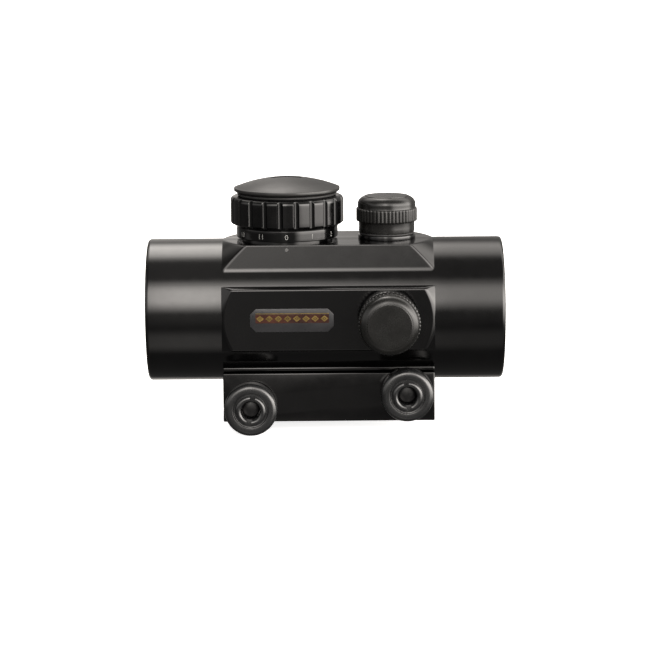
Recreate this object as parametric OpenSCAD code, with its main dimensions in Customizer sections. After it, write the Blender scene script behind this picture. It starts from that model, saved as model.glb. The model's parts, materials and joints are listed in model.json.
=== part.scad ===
// Tube-type red dot finder with a 30 mm objective and a clamp for a cross-slotted accessory rail.
// Millimetres. +X points to the front (the target), +Z is up, -Y is the side with the clamp nuts.
// The origin is the middle of the face that seats on the rail.

/* [Tube] */
// Outer diameter of the tube
tube_d = 38.7; // [38.5:0.1:39]
// Length of the tube
tube_len = 96.4; // [90:0.2:110]
// How far the tube's middle lies behind the middle of the rail seat
tube_back = 0.8; // [0:0.1:3]
// Height of the optical axis above the rail seat
axis_h = 23.8; // [23.4:0.1:25]
// Diameter of the tube's bore
bore_d = 35; // [35]
// Radius on the outer edge of both rims
rim_r = 1.0; // [0.4:0.1:1.2]

/* [Body block] */
// Length of the thick block in the middle
block_len = 57; // [54:1:60]
// Height of the flat deck above the optical axis
deck_h = 19.4; // [19.3:0.1:19.8]
// Half width of the deck
deck_half_w = 13.8; // [13.6:0.1:14.2]
// Distance from the optical axis to the side panels
panel_y = 19.5; // [19.4:0.1:19.8]
// Half height of the side panels
panel_half_h = 8.75; // [7:0.25:9]
// Length of the turned end cone for each millimetre of its radius
cone_slope = 1.43; // [1:0.05:2]
// Half width of the foot under the tube
foot_half_w = 15.5; // [15:0.25:16]
// Top of the foot's ledge below the optical axis
foot_top = 13.5; // [13.5:0.1:14.2]

/* [Rail clamp] */
// Width of the rail's head across its flanks
rail_w = 21.2; // [21.2]
// Width of the rail's flat top
rail_top_w = 15.7; // [15.7]
// How far the foot reaches below the seat
foot_drop = 4.6; // [4.2:0.1:5]
// Thickness of the clamp plate
plate_t = 4.0; // [3.8:0.1:4.1]
// Distance of each cross bolt from the middle of the seat
bolt_x = 21; // [20:0.5:22]
// Diameter of the cross bolts
bolt_d = 4.9; // [4.8:0.05:5]
// Height of the rear bolt, which lies in one of the rail's slots
low_bolt_z = -0.4; // [-0.5:0.1:-0.3]
// Height of the front bolt, which passes over the rail
high_bolt_z = 3.2; // [3.1:0.05:3.3]
// Diameter of the thumb nuts
nut_d = 14.2; // [13:0.2:15]
// Turn of the rear nut's screwdriver slot from upright
rear_slot_turn = 9; // [-90:1:90]
// Turn of the front nut's screwdriver slot from upright
front_slot_turn = -6; // [-90:1:90]

/* [Brightness knob] */
// Distance of the knob's axis behind the middle of the seat
knob_back = 11; // [10.5:0.1:11.5]
// Radius of the fluted grip
grip_r = 15.4; // [15.2:0.1:15.8]
// Number of lands round the grip
flute_count = 22; // [18:1:26]
// Radius of the numbered dial ring
dial_r = 13.75; // [13.6:0.05:13.9]
// Radius of the battery cap
cap_r = 14.35; // [14.2:0.05:14.5]
// Number of switch positions round a full turn
click_count = 12; // [12]

/* [Turrets] */
// Distance of the turret axes in front of the middle of the seat
turret_x = 16.1; // [15.8:0.1:16.4]
// Radius of the knurled band on each turret cap
knurl_r = 8.3; // [8.1:0.1:8.5]
// Number of ridges in the knurl
knurl_count = 48; // [36:4:60]
// Radius of the threaded neck under each cap
neck_r = 6.6; // [6.6]

/* [Optics] */
// Radius of the clear opening inside the moving tube
clear_r = 15.3; // [15.2:0.05:15.35]
// Thickness of the moving tube's wall
inner_wall = 0.9; // [0.8:0.05:0.9]
// Distance of the tilt pivot behind the middle of the seat
pivot_back = 35; // [34.5:0.1:35.5]
// Thickness of the two end windows
window_t = 2.0; // [1.8:0.1:2]

/* [Badge] */
// Length of the plate on the side panel
badge_len = 22.4; // [20:0.2:24]
// Height of the plate on the side panel
badge_h = 6.3; // [5.5:0.1:7]
// Distance of the plate's middle behind the middle of the seat
badge_back = 9.75; // [9:0.25:10.5]

/* [Hidden] */
$fn = 96;
// Overlap that makes a cut run cleanly past a face
eps = 0.05;
// Gap between pieces of one body that are only dropped in
drop_in = 0.05;
// Gap of a running fit between pieces that move
running = 0.08;

// Tube and block
tube_r = tube_d / 2;
bore_r = bore_d / 2;
rear_x = -tube_back - tube_len / 2;
front_x = -tube_back + tube_len / 2;
block_half = block_len / 2;
deck_z = axis_h + deck_h;
facet_foot_y = deck_half_w + 0.92;
facet_foot_h = deck_h - 7.0;
ledge_t = 1.1;
shoulder_r = 15.4;
shoulder_t = 1.5;
recess_deep = 3.5;
ring_t = 1.8;
ring_bore_r = 15.3;
seal_t = 0.5;

// Places along the tube, from each rim inwards
rear_ring_x = rear_x + recess_deep;
rear_window_x = rear_ring_x + ring_t;
rear_seal_x = rear_window_x + window_t;
rear_shoulder_x = rear_seal_x + seal_t;
front_ring_x = front_x - recess_deep - ring_t;
front_window_x = front_ring_x - window_t;
front_seal_x = front_window_x - seal_t;
front_shoulder_x = front_seal_x - shoulder_t;

// Rail clamp
foot_under = axis_h - foot_top - ledge_t;
plate_top = foot_under - 1.0;
plate_inner_y = foot_half_w - plate_t;
land_h = 0.3;
land_half_w = rail_top_w / 2;
channel_half_w = rail_w / 2 + 0.3;
flank_z = -2.9;
hook_half_w = 9.2;
bolt_r = bolt_d / 2;
bolt_hole_r = bolt_r + 0.15;
bolt_head_r = 4.0;
bolt_head_t = 3.0;
washer_t = 0.8;
nut_t = 4.8;
collar_t = 0.9;
nut_bore_r = 2.55;
nut_face_y = foot_half_w + washer_t;
bolt_end_y = nut_face_y + nut_t - 2.2;
socket_af = 3.0;

// Brightness knob, heights above the deck
knob_x = -knob_back;
seat_t = 0.8;
seat_r = 12.0;
spigot_r = 5.9;
spigot_deep = 1.7;
post_r = 3.4;
post_top = 5.9;
clip_z = 5.0;
clip_t = 0.5;
clip_neck_r = 2.7;
board_t = 0.7;
board_r = 9.7;
dial_gap = 0.7;
dial_top = 3.7;
skirt_r = 12.25;
skirt_in_r = 9.95;
skirt_z = 2.0;
web_z = 3.6;
web_top = 4.8;
shelf_z = 6.3;
shelf_r = 9.0;
chamber_r = 11.0;
thread_z = 8.8;
cap_thread_r = 12.0;
grip_low = 4.7;
grip_top = 11.9;
grip_edge_r = 1.3;
tray_t = 0.8;
cell_r = 10.0;
cell_t = 3.2;
cell_z = 7.8;
cap_under = 12.8;
cap_rim = 14.0;
cap_apex = 16.9;
cap_skirt_z = 9.4;
cap_roof_z = 12.2;
detent_at = 10.8;
ball_r = 0.75;
ball_z = 1.05;
groove_r = 0.75;
// First groove, measured from the -Y side towards +X
groove_phase = 10.1;

// Turrets, heights above the face that each stands on
flange_r = 7.8;
flange_t = 1.1;
turret_spigot_r = 4.4;
turret_spigot_deep = 1.6;
neck_top = 5.6;
dial_shelf = 3.0;
adjuster_r = 5.2;
adjuster_top = 6.4;
spindle_r = 2.95;
plunger_r = 1.5;
cap_foot = 1.75;
cap_body_r = 7.6;
band_low = 4.8;
band_high = 8.1;
shoulder_h = 9.6;
turret_cap_r = 7.8;
crown_r = 6.2;
crown_h = 11.25;
cap_top = 12.1;

// Optics
inner_r = clear_r + inner_wall;
pad_flat = inner_r - 0.2;
tip_gap = 0.1;
tilt_x = -pivot_back;
inner_rear_x = rear_shoulder_x + shoulder_t + 1.0;
inner_front_x = front_shoulder_x - 1.5;
gimbal_in_r = 16.5;
gimbal_out_r = 17.2;
gimbal_half_w = 1.2;
gimbal_pin_r = 0.8;
pocket_r = 18.7;
lens_stop_x = inner_front_x - 6.4;
lens_stop_r = 14.6;
lens_rim_t = 2.3;
led_x = -29;
led_drop = 13.0;
wire_r = 0.25;
wire_gap = 0.6;
wire_lane_r = 17.1;

// ---------- shared shapes ----------

// Turns a shape made along +Z so that it lies along +X on the optical axis, starting at x
module on_axis(x) {
    translate([x, 0, axis_h]) rotate([0, 90, 0]) children();
}

module tube_between(x0, x1, outer, inner) {
    on_axis(x0) difference() {
        cylinder(h = x1 - x0, r = outer);
        translate([0, 0, -eps]) cylinder(h = x1 - x0 + 2 * eps, r = inner);
    }
}

// Extrudes an outline in (y, z) along the whole block
module block_extrude(half) {
    translate([-half, 0, 0]) rotate([90, 0, 90]) linear_extrude(2 * half) children();
}

module knob_place() {
    translate([knob_x, 0, deck_z]) children();
}

module elevation_place() {
    translate([turret_x, 0, deck_z]) children();
}

module windage_place() {
    translate([turret_x, -panel_y, axis_h]) rotate([90, 0, 0]) children();
}

// Points of an arc, for outlines that are turned round an axis
function arc(cx, cy, r, from, to, steps = 8) = [
    for (i = [0:steps]) let (a = from + (to - from) * i / steps) [cx + r * cos(a), cy + r * sin(a)]
];

// Points of a shallow crown that rises from (r, low) to (0, top)
function crown(r, low, top, steps = 10) = let (
    rise = top - low,
    big = (r * r + rise * rise) / (2 * rise)
) [for (i = [0:steps]) let (x = r * (1 - i / steps)) [x, top - big + sqrt(big * big - x * x)]];

// Height of a ball's cap over its rim of radius r, at distance y from the middle
function bulge(y, r, ball) = sqrt(ball * ball - y * y) - sqrt(ball * ball - r * r);

// A round wire spring along +Z, as one swept tube
module coil(radius, wire, height, turns, steps = 14, sides = 6) {
    rings = turns * steps;
    points = [
        for (i = [0:rings]) for (k = [0:sides - 1]) let (
            a = 360 * i / steps,
            t = 360 * k / sides,
            rr = radius + wire * cos(t)
        ) [rr * cos(a), rr * sin(a), wire + (height - 2 * wire) * i / rings + wire * sin(t)]
    ];
    walls = [
        for (i = [0:rings - 1]) for (k = [0:sides - 1]) let (n = (k + 1) % sides)
            [i * sides + k, i * sides + n, (i + 1) * sides + n, (i + 1) * sides + k]
    ];
    start = [[for (k = [sides - 1:-1:0]) k]];
    finish = [[for (k = [0:sides - 1]) rings * sides + k]];
    polyhedron(points, concat(walls, start, finish), convexity = 8);
}

// ---------- housing ----------

module barrel_solid() {
    on_axis(rear_x) rotate_extrude() polygon(concat(
        [[0, 0]],
        arc(tube_r - rim_r, rim_r, rim_r, -90, 0, 6),
        arc(tube_r - rim_r, tube_len - rim_r, rim_r, 0, 90, 6),
        [[0, tube_len]]
    ));
}

// Deck, its two sloping facets and the two side panels
module block_outline() {
    translate([0, axis_h]) {
        polygon([
            [-facet_foot_y, facet_foot_h], [facet_foot_y, facet_foot_h],
            [deck_half_w, deck_h], [-deck_half_w, deck_h]
        ]);
        translate([-panel_y, -panel_half_h]) square([2 * panel_y, 2 * panel_half_h]);
    }
}

// The lathe-turned ends: a barrel shape that starts at the tube's own radius
module turned_ends() {
    reach = 8;
    waist = block_half - reach * cone_slope;
    on_axis(0) rotate_extrude() polygon([
        [0, -block_half], [tube_r, -block_half], [tube_r + reach, -waist],
        [tube_r + reach, waist], [tube_r, block_half], [0, block_half]
    ]);
}

// Foot with the rail channel; the near side is open for the clamp plate
module foot_outline() {
    difference() {
        translate([-foot_half_w, -foot_drop])
            square([2 * foot_half_w, axis_h - foot_top + foot_drop]);
        translate([-foot_half_w - 1, -foot_drop - 1])
            square([1 + plate_t + 0.1, foot_under + foot_drop + 1]);
        polygon([
            [-foot_half_w, land_h], [channel_half_w, land_h], [channel_half_w, flank_z],
            [hook_half_w, -foot_drop], [hook_half_w, -foot_drop - 1], [-foot_half_w, -foot_drop - 1]
        ]);
    }
}

// Raised lands that seat on the rail's top, clear of the rear bolt
module seat_lands() {
    front_land_x = -bolt_x + bolt_hole_r + 1.2;
    rear_land_end = -bolt_x - bolt_hole_r - 1.0;
    for (span = [[front_land_x, block_half], [-block_half, rear_land_end]])
        translate([span[0], -land_half_w, 0])
            cube([span[1] - span[0], 2 * land_half_w, land_h + eps]);
}

module cross_hole(x, z) {
    translate([x, 0, z]) rotate([90, 0, 0]) {
        cylinder(h = 60, r = bolt_hole_r, center = true);
        translate([0, 0, -foot_half_w - eps])
            cylinder(h = bolt_head_t - 0.8 + eps, r = bolt_head_r + 0.2);
    }
}

module spring_pocket() {
    spring_place() translate([-14, -3, -pocket_r]) cube([28, 6, 3]);
}

// Turned so that -Z points away from both plungers, into the foot
module spring_place() {
    translate([12, 0, axis_h]) rotate([30, 0, 0]) children();
}

module main_housing() color("#1b1b1d") difference() {
    union() {
        barrel_solid();
        intersection() {
            block_extrude(block_half) block_outline();
            turned_ends();
        }
        block_extrude(block_half) foot_outline();
        seat_lands();
    }
    // Long chamber, rear shoulder and the two end recesses
    on_axis(rear_x - eps) cylinder(h = rear_shoulder_x - rear_x + eps, r = bore_r);
    on_axis(rear_x) cylinder(h = tube_len, r = shoulder_r);
    on_axis(rear_shoulder_x + shoulder_t)
        cylinder(h = front_x - rear_shoulder_x - shoulder_t + eps, r = bore_r);
    // Side bores for the tilt pins
    translate([tilt_x, 0, axis_h]) rotate([90, 0, 0])
        cylinder(h = 2 * (bore_r + 1), r = gimbal_pin_r + 0.05, center = true);
    // Holes for the switch and the two turrets
    knob_place() translate([0, 0, -4]) cylinder(h = 5, r = spigot_r + drop_in);
    knob_place() translate([-detent_at, 0, -1.0]) cylinder(h = 2, r = 0.95);
    elevation_place() translate([0, 0, -4]) cylinder(h = 5, r = turret_spigot_r + drop_in);
    windage_place() translate([0, 0, -4]) cylinder(h = 5, r = turret_spigot_r + drop_in);
    spring_pocket();
    cross_hole(-bolt_x, low_bolt_z);
    cross_hole(bolt_x, high_bolt_z);
    badge_recess();
    index_hole();
}

module index_place() {
    slope = atan2(facet_foot_y - deck_half_w, deck_h - facet_foot_h);
    drop = 1.25;
    translate([knob_x, -deck_half_w - drop * tan(slope), deck_z - drop])
        rotate([90 - slope, 0, 0]) children();
}

module index_hole() {
    index_place() translate([0, 0, -0.4]) cylinder(h = 1, r = 0.5, $fn = 32);
}

module index_dot() color("#e8e8e4") index_place()
    translate([0, 0, -0.4]) cylinder(h = 0.42, r = 0.45, $fn = 32);

module badge_outline(grow) {
    chamfer = 1.6;
    w = badge_len / 2 + grow;
    h = badge_h / 2 + grow;
    polygon([
        [-w, -h + chamfer], [-w + chamfer, -h], [w - chamfer, -h], [w, -h + chamfer],
        [w, h - chamfer], [w - chamfer, h], [-w + chamfer, h], [-w, h - chamfer]
    ]);
}

module badge_recess() {
    translate([-badge_back, -panel_y + 0.25, axis_h]) rotate([90, 0, 0])
        linear_extrude(1) badge_outline(0.05);
}

module badge_plate() color("#4a4742")
    translate([-badge_back, -panel_y + 0.25, axis_h]) rotate([90, 0, 0])
        linear_extrude(0.45) badge_outline(0);

// ---------- windows ----------

// Ring with two notches for a pin spanner
module spanner_ring(x0, x1) {
    difference() {
        tube_between(x0, x1, bore_r - drop_in, ring_bore_r);
        for (side = [-1, 1])
            translate([(x0 + x1) / 2, 0, axis_h + side * (bore_r - 1)])
                cube([ring_t + 1, 2.2, 1.2], center = true);
    }
}

module window_disc(x) {
    on_axis(x) cylinder(h = window_t, r = bore_r - 0.3);
}

module rear_window() color("#b9c8d6", 0.5) window_disc(rear_window_x);
module front_window() color("#b9c8d6", 0.5) window_disc(front_window_x);
module rear_window_seal() color("#111111")
    tube_between(rear_seal_x, rear_shoulder_x, bore_r - 0.3, shoulder_r);
module front_window_seal() color("#111111")
    tube_between(front_seal_x, front_window_x, bore_r - 0.3, shoulder_r);
module front_spacer_ring() color("#1d1d1f")
    tube_between(front_shoulder_x, front_seal_x, bore_r - drop_in, shoulder_r);
module rear_retaining_ring() color("#1d1d1f") spanner_ring(rear_ring_x, rear_window_x);
module front_retaining_ring() color("#1d1d1f")
    spanner_ring(front_ring_x, front_ring_x + ring_t);

// ---------- moving optical tube ----------

module pivot_ring() color("#a8a9ab") {
    tube_between(tilt_x - gimbal_half_w, tilt_x + gimbal_half_w, gimbal_out_r, gimbal_in_r);
    for (side = [-1, 1]) {
        translate([tilt_x, side * (gimbal_out_r - 0.3), axis_h]) rotate([-side * 90, 0, 0])
            cylinder(h = 1.4, r = gimbal_pin_r, $fn = 32);
        translate([tilt_x, 0, axis_h + side * (clear_r + 0.1)]) rotate([side < 0 ? 180 : 0, 0, 0])
            cylinder(h = gimbal_in_r - clear_r + 0.1, r = gimbal_pin_r, $fn = 32);
    }
}

module inner_tube() color("#2a2a2c") difference() {
    union() {
        tube_between(inner_rear_x, inner_front_x, inner_r, clear_r);
        tube_between(lens_stop_x - 1.0, lens_stop_x, clear_r + 0.2, lens_stop_r);
    }
    // Flats that the two plungers press on
    translate([turret_x - 3, -4, axis_h + pad_flat]) cube([6, 8, 2]);
    translate([turret_x - 3, -pad_flat - 2, axis_h - 4]) cube([6, 2, 8]);
    // Holes for the pivot ring's upright pins
    translate([tilt_x, 0, axis_h])
        cylinder(h = 2 * inner_r + 2, r = gimbal_pin_r + 0.05, center = true, $fn = 32);
    // Slot for the emitter's wires
    translate([led_x - 1.9, -1.8, axis_h + led_drop]) cube([3.2, 3.6, 5]);
}

// Lens turned from two shallow arcs; both faces bulge towards the front
module lens(x, rim_t, r, front_ball, rear_ball, steps = 6) {
    on_axis(x) rotate_extrude() polygon(concat(
        [for (i = [0:steps]) let (y = r * i / steps) [y, bulge(y, r, rear_ball)]],
        [for (i = [steps:-1:0]) let (y = r * i / steps) [y, rim_t + bulge(y, r, front_ball)]]
    ));
}

module corrector_lens() color("#c8d2dc", 0.5)
    lens(lens_stop_x, lens_rim_t, clear_r - 0.1, 120, 160);
module reflector_lens() color("#a03a2a", 0.6)
    lens(lens_stop_x + lens_rim_t, lens_rim_t, clear_r - 0.1, 95, 120);
module lens_lock_ring() color("#1d1d1f")
    tube_between(lens_stop_x + 2 * lens_rim_t + 0.1, inner_front_x - 0.3, clear_r - drop_in,
                 lens_stop_r);

module led_holder() color("#26262a") intersection() {
    on_axis(led_x - 2) cylinder(h = 4, r = clear_r - drop_in);
    translate([led_x - 2, -2.2, axis_h + led_drop - 0.8]) cube([4, 4.4, 6]);
}

module led_emitter() color("#c23a2e") on_axis(led_x + 2) translate([-led_drop - 0.4, 0, 0]) {
    cylinder(h = 0.5, r = 0.7, $fn = 32);
    translate([0, 0, 0.5]) cylinder(h = 0.35, r1 = 0.45, r2 = 0.25, $fn = 32);
}

// Two thin leads from the switch board, over the moving tube, to the emitter
module led_wires() color("#b03028") {
    bend = 0.9;
    lane_z = axis_h + wire_lane_r;
    drop_x = led_x - 0.3;
    rise_x = knob_x - 4.5;
    for (side = [-1, 1]) translate([0, side * wire_gap, 0]) {
        translate([rise_x, 0, lane_z + bend])
            cylinder(h = deck_z + seat_t - lane_z - bend, r = wire_r, $fn = 24);
        translate([rise_x - bend, 0, lane_z + bend]) rotate([90, 0, 0]) rotate([0, 0, -90])
            rotate_extrude(angle = 90, $fn = 48) translate([bend, 0]) circle(r = wire_r, $fn = 24);
        translate([drop_x + bend, 0, lane_z]) rotate([0, 90, 0])
            cylinder(h = rise_x - drop_x - 2 * bend, r = wire_r, $fn = 24);
        translate([drop_x + bend, 0, lane_z - bend]) rotate([90, 0, 0]) rotate([0, 0, 90])
            rotate_extrude(angle = 90, $fn = 48) translate([bend, 0]) circle(r = wire_r, $fn = 24);
        translate([drop_x, 0, axis_h + clear_r + 0.05])
            cylinder(h = wire_lane_r - bend - clear_r - 0.05, r = wire_r, $fn = 24);
    }
}

// Bowed leaf in its pocket, opposite the two plungers
module bias_spring() color("#9a9a92") {
    big = 95;
    half_angle = 7.2;
    leaf_t = 0.3;
    spring_place() translate([0, 0, leaf_t - pocket_r + 0.75 - big])
        rotate([90, 0, 0]) rotate([0, 0, 90 - half_angle])
            rotate_extrude(angle = 2 * half_angle, $fn = 360)
                translate([big - leaf_t, -2.5]) square([leaf_t, 5]);
}

// ---------- switch under the knob ----------

module switch_base() color("#2c2c2e") knob_place() difference() {
    union() {
        translate([0, 0, -spigot_deep]) cylinder(h = spigot_deep + seat_t, r = spigot_r);
        cylinder(h = seat_t, r = seat_r);
        cylinder(h = clip_z, r = post_r);
        cylinder(h = post_top, r = clip_neck_r);
        translate([0, 0, clip_z + clip_t]) cylinder(h = post_top - clip_z - clip_t, r = post_r);
    }
    translate([-detent_at, 0, -1]) cylinder(h = 3, r = 0.9);
    for (side = [-1, 1]) translate([-4.5, side * wire_gap, -3])
        cylinder(h = 6, r = wire_r + 0.1, $fn = 24);
}

module switch_board() color("#1e5a34") knob_place() translate([0, 0, seat_t]) difference() {
    cylinder(h = board_t, r = board_r);
    translate([0, 0, -eps]) cylinder(h = board_t + 2 * eps, r = post_r + 0.2);
}

module detent_ball() color("#c9cace") knob_place()
    translate([-detent_at, 0, ball_z]) sphere(r = ball_r, $fn = 48);

module detent_spring() color("#b5b6b8") knob_place()
    translate([-detent_at, 0, -0.95]) coil(0.55, 0.12, 1.25, 4);

module knob_clip() color("#8f9092") knob_place() translate([0, 0, clip_z]) difference() {
    cylinder(h = clip_t, r = 4.9);
    translate([0, 0, -eps]) cylinder(h = clip_t + 2 * eps, r = clip_neck_r);
    translate([0, -1.9, -eps]) cube([6, 3.8, clip_t + 2 * eps]);
}

// ---------- knob ----------

module grip_profile() {
    polygon(concat(
        [
            [post_r + running, web_z], [skirt_in_r, web_z], [skirt_in_r, skirt_z], [skirt_r, skirt_z],
            [skirt_r, dial_top], [dial_r, dial_top], [grip_r, grip_low]
        ],
        arc(grip_r - grip_edge_r, grip_top - grip_edge_r, grip_edge_r, 0, 90, 6),
        [
            [cap_thread_r, grip_top], [cap_thread_r, thread_z], [chamber_r, thread_z],
            [chamber_r, shelf_z], [shelf_r, shelf_z], [shelf_r, web_top], [post_r + running, web_top]
        ]
    ));
}

module knob_grip() color("#161617") knob_place() difference() {
    rotate_extrude() grip_profile();
    for (i = [0:flute_count - 1]) rotate([0, 0, -90 + groove_phase + i * 360 / flute_count])
        translate([grip_r + 0.1, 0, grip_low - 0.3])
            cylinder(h = grip_top - grip_low + 1, r = groove_r, $fn = 24);
    for (i = [0:click_count - 1]) rotate([0, 0, i * 360 / click_count])
        translate([detent_at, 0, ball_z + 0.4]) sphere(r = ball_r + 0.1, $fn = 24);
}

module dial_ring() color("#202022") knob_place() difference() {
    translate([0, 0, dial_gap]) cylinder(h = dial_top - dial_gap, r = dial_r);
    cylinder(h = dial_top + eps, r = skirt_r + drop_in);
}

module switch_wiper() color("#b8863c") knob_place() {
    translate([0, 0, web_z - 0.25]) difference() {
        cylinder(h = 0.25, r = 9.2);
        translate([0, 0, -eps]) cylinder(h = 1, r = 4.4);
    }
    for (at = [5.8, 8.2]) rotate([0, 0, 40]) translate([at, 0, web_z - 0.2])
        rotate([42, 0, 0]) translate([-0.5, 0, -2.25]) cube([1, 0.2, 2.25]);
}

module battery_tray() color("#d8d4c4") knob_place() translate([0, 0, shelf_z]) difference() {
    cylinder(h = tray_t, r = chamber_r - drop_in);
    translate([0, 0, -eps]) cylinder(h = tray_t + 2 * eps, r = 1.6);
}

module tray_contact() color("#c8a85a") knob_place() translate([0, 0, shelf_z + tray_t]) {
    difference() {
        cylinder(h = 0.2, r = 5.5);
        translate([0, 0, -eps]) cylinder(h = 1, r = 2.2);
    }
    for (i = [0:2]) rotate([0, 0, 120 * i]) translate([5.2, -1, 0]) rotate([0, -7, 0])
        cube([3.6, 2, 0.2]);
}

module battery() color("#c2c4c8") knob_place() translate([0, 0, cell_z]) {
    translate([0, 0, 0.35]) cylinder(h = cell_t - 0.35, r = cell_r);
    cylinder(h = 0.4, r = cell_r - 1.1);
}

module battery_cap() color("#5c5c5a") knob_place() difference() {
    rotate_extrude() polygon(concat(
        [
            [0, cap_roof_z], [cell_r + 0.35, cap_roof_z], [cell_r + 0.35, cap_skirt_z],
            [cap_thread_r - running, cap_skirt_z], [cap_thread_r - running, cap_under],
            [cap_r - 0.3, cap_under], [cap_r, cap_under + 0.3]
        ],
        crown(cap_r, cap_rim, cap_apex)
    ));
    // Coin slot with a round bottom
    translate([0, 0, cap_apex + 7.4]) rotate([90, 0, 0])
        cylinder(h = 2.0, r = 8.6, center = true);
}

module cap_contact() color("#c8a85a") knob_place() {
    translate([0, 0, cap_roof_z - 0.2]) cylinder(h = 0.2, r = 6);
    for (i = [0:2]) rotate([0, 0, 120 * i + 30]) translate([3.0, -1, cap_roof_z - 0.25])
        rotate([0, 9, 0]) cube([4.6, 2, 0.2]);
}

module o_ring(major, minor) {
    rotate_extrude() translate([major, 0]) circle(r = minor, $fn = 32);
}

module battery_cap_seal() color("#0c0c0c") knob_place()
    translate([0, 0, (grip_top + cap_under) / 2]) o_ring(13.0, 0.4);

// ---------- turrets ----------

module turret_base() difference() {
    union() {
        translate([0, 0, -turret_spigot_deep])
            cylinder(h = turret_spigot_deep + flange_t, r = turret_spigot_r);
        cylinder(h = flange_t, r = flange_r);
        cylinder(h = neck_top, r = neck_r);
    }
    translate([0, 0, dial_shelf]) cylinder(h = 4, r = adjuster_r + running);
    translate([0, 0, -3]) cylinder(h = 8, r = spindle_r + running);
}

module turret_dial() difference() {
    union() {
        translate([0, 0, dial_shelf + 0.1])
            cylinder(h = adjuster_top - dial_shelf - 0.1, r = adjuster_r);
        translate([0, 0, -turret_spigot_deep + 0.2])
            cylinder(h = dial_shelf + turret_spigot_deep, r = spindle_r);
    }
    translate([0, 0, -3]) cylinder(h = 3 + 5.2, r = plunger_r + running, $fn = 48);
    translate([-6, -0.6, adjuster_top - 0.8]) cube([12, 1.2, 2]);
}

module turret_plunger(face) {
    tip = pad_flat + tip_gap - face;
    translate([0, 0, tip]) cylinder(h = 4.5 - tip, r = plunger_r, $fn = 48);
}

module turret_cap() difference() {
    rotate_extrude() polygon(concat(
        [
            [0, 10.2], [5.9, 10.2], [6.0, 10.1], [6.0, 7.2], [neck_r + running, 7.2],
            [neck_r + running, cap_foot], [cap_body_r, cap_foot], [cap_body_r, band_low - 0.2],
            [knurl_r - 0.3, band_low - 0.1], [knurl_r, band_low + 0.2], [knurl_r, band_high - 0.2],
            [knurl_r - 0.3, band_high + 0.1], [turret_cap_r, band_high + 0.2]
        ],
        arc(turret_cap_r - 1.6, shoulder_h, 1.6, 0, 90, 6),
        crown(crown_r, crown_h, cap_top)
    ));
    for (i = [0:knurl_count - 1]) rotate([0, 0, i * 360 / knurl_count])
        translate([knurl_r + 0.12, 0, band_low - 0.3])
            cylinder(h = band_high - band_low + 0.6, r = 0.28, $fn = 4);
}

module turret_seal() {
    translate([0, 0, (flange_t + cap_foot) / 2]) o_ring(7.15, 0.32);
}

module elevation_base() color("#29292b") elevation_place() turret_base();
module elevation_dial() color("#b9a05c") elevation_place() turret_dial();
module elevation_plunger() color("#b9bcc0") elevation_place() turret_plunger(deck_h);
module elevation_cap() color("#2b2b29") elevation_place() turret_cap();
module elevation_cap_seal() color("#0c0c0c") elevation_place() turret_seal();
module windage_base() color("#29292b") windage_place() turret_base();
module windage_dial() color("#b9a05c") windage_place() turret_dial();
module windage_plunger() color("#b9bcc0") windage_place() turret_plunger(panel_y);
module windage_cap() color("#2b2b29") windage_place() turret_cap();
module windage_cap_seal() color("#0c0c0c") windage_place() turret_seal();

// ---------- rail clamp ----------

module clamp_plate() color("#141416") difference() {
    block_extrude(block_half) polygon([
        [-foot_half_w, -foot_drop], [-hook_half_w, -foot_drop], [-channel_half_w, flank_z],
        [-plate_inner_y, flank_z + 0.9], [-plate_inner_y, plate_top], [-foot_half_w, plate_top]
    ]);
    for (at = [[-bolt_x, low_bolt_z], [bolt_x, high_bolt_z]])
        translate([at[0], 0, at[1]]) rotate([90, 0, 0])
            cylinder(h = 60, r = bolt_hole_r, center = true);
}

module cross_bolt(x, z) {
    translate([x, 0, z]) rotate([90, 0, 0]) difference() {
        union() {
            translate([0, 0, -foot_half_w]) cylinder(h = foot_half_w + bolt_end_y, r = bolt_r);
            translate([0, 0, -foot_half_w - 0.8]) cylinder(h = bolt_head_t, r = bolt_head_r);
        }
        translate([0, 0, -foot_half_w - 1])
            cylinder(h = 2.2, r = socket_af / sqrt(3), $fn = 6);
    }
}

module cross_bolts() color("#3a3a3c") {
    cross_bolt(-bolt_x, low_bolt_z);
    cross_bolt(bolt_x, high_bolt_z);
}

module clamp_washers() color("#6a6a6c")
    for (at = [[-bolt_x, low_bolt_z], [bolt_x, high_bolt_z]])
        translate([at[0], -foot_half_w, at[1]]) rotate([90, 0, 0]) difference() {
            cylinder(h = washer_t, r = 5.2);
            translate([0, 0, -eps]) cylinder(h = washer_t + 2 * eps, r = bolt_r + 0.15);
        }

// Round thumb nut with a slotted collar round the bolt's end
module thumb_nut(slot_turn) difference() {
    rotate_extrude() polygon(concat(
        [[nut_bore_r, 0], [nut_d / 2 - 0.6, 0], [nut_d / 2, 0.6]],
        arc(nut_d / 2 - 1.4, nut_t - 1.4, 1.4, 0, 90, 6),
        [
            [4.8, nut_t], [4.5, nut_t - 0.3], [4.1, nut_t - 0.3],
            [3.6, nut_t + collar_t], [2.9, nut_t + collar_t], [nut_bore_r, nut_t + collar_t - 0.4]
        ]
    ));
    rotate([0, 0, slot_turn]) translate([-0.8, -4.3, nut_t - 0.3]) cube([1.6, 8.6, 3]);
}

module nut_place(x, z) {
    translate([x, -nut_face_y, z]) rotate([90, 0, 0]) children();
}

module rear_thumb_nut() color("#47484a")
    nut_place(-bolt_x, low_bolt_z) thumb_nut(-rear_slot_turn);
module front_thumb_nut() color("#47484a")
    nut_place(bolt_x, high_bolt_z) thumb_nut(-front_slot_turn);

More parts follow.
